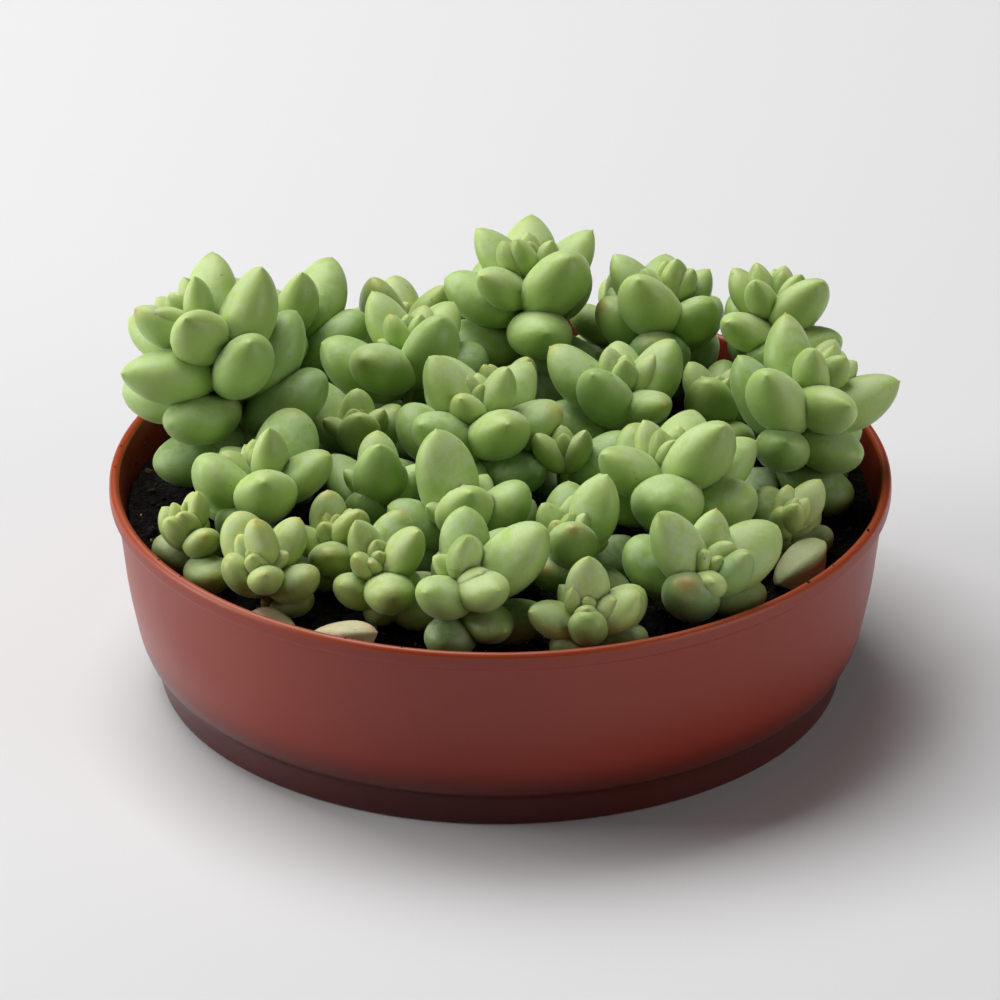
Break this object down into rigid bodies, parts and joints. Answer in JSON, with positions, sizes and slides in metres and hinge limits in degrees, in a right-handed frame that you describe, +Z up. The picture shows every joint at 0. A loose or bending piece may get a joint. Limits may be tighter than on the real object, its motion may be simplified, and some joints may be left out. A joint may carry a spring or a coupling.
{
  "type": "potted burrito sedum",
  "caption": "Low round plastic nursery bowl filled with dark peat and a dense clump of upright and leaning sedum stems, each ringed with fat, blunt, pale green leaves.",
  "frame": {"origin": "centre of the bowl's underside, on the surface that it stands on", "axes": "+Z up along the bowl's axis, -Y towards the side that the picture is taken from, +X to its right"},
  "size_m": [0.1213, 0.12, 0.0645],
  "materials": {
    "pot": "terracotta-brown polypropylene, satin, with a brighter lip",
    "soil": "damp dark peat with fine granules and fibres",
    "leaf": "fleshy pale green leaf with a powdery bloom, translucent",
    "faded_leaf": "shed leaf, yellowed and slightly shrivelled"
  },
  "bodies": {
    "root": {"pot": "pot", "soil": "soil", "stem_01": "leaf", "stem_02": "leaf", "stem_03": "leaf", "stem_04": "leaf", "stem_05": "leaf", "stem_06": "leaf", "stem_07": "leaf", "stem_08": "leaf", "stem_09": "leaf", "stem_10": "leaf", "stem_11": "leaf", "stem_12": "leaf", "stem_13": "leaf", "stem_14": "leaf", "stem_15": "leaf", "stem_16": "leaf", "stem_17": "leaf", "stem_18": "leaf", "stem_19": "leaf", "stem_20": "leaf", "stem_21": "leaf", "stem_22": "leaf", "stem_23": "leaf", "stem_24": "leaf", "stem_25": "leaf", "stem_26": "leaf", "stem_27": "leaf", "stem_28": "leaf", "leaf_loose_1": "faded_leaf", "leaf_loose_2": "faded_leaf", "leaf_loose_3": "faded_leaf"}
  },
  "joints": []
}
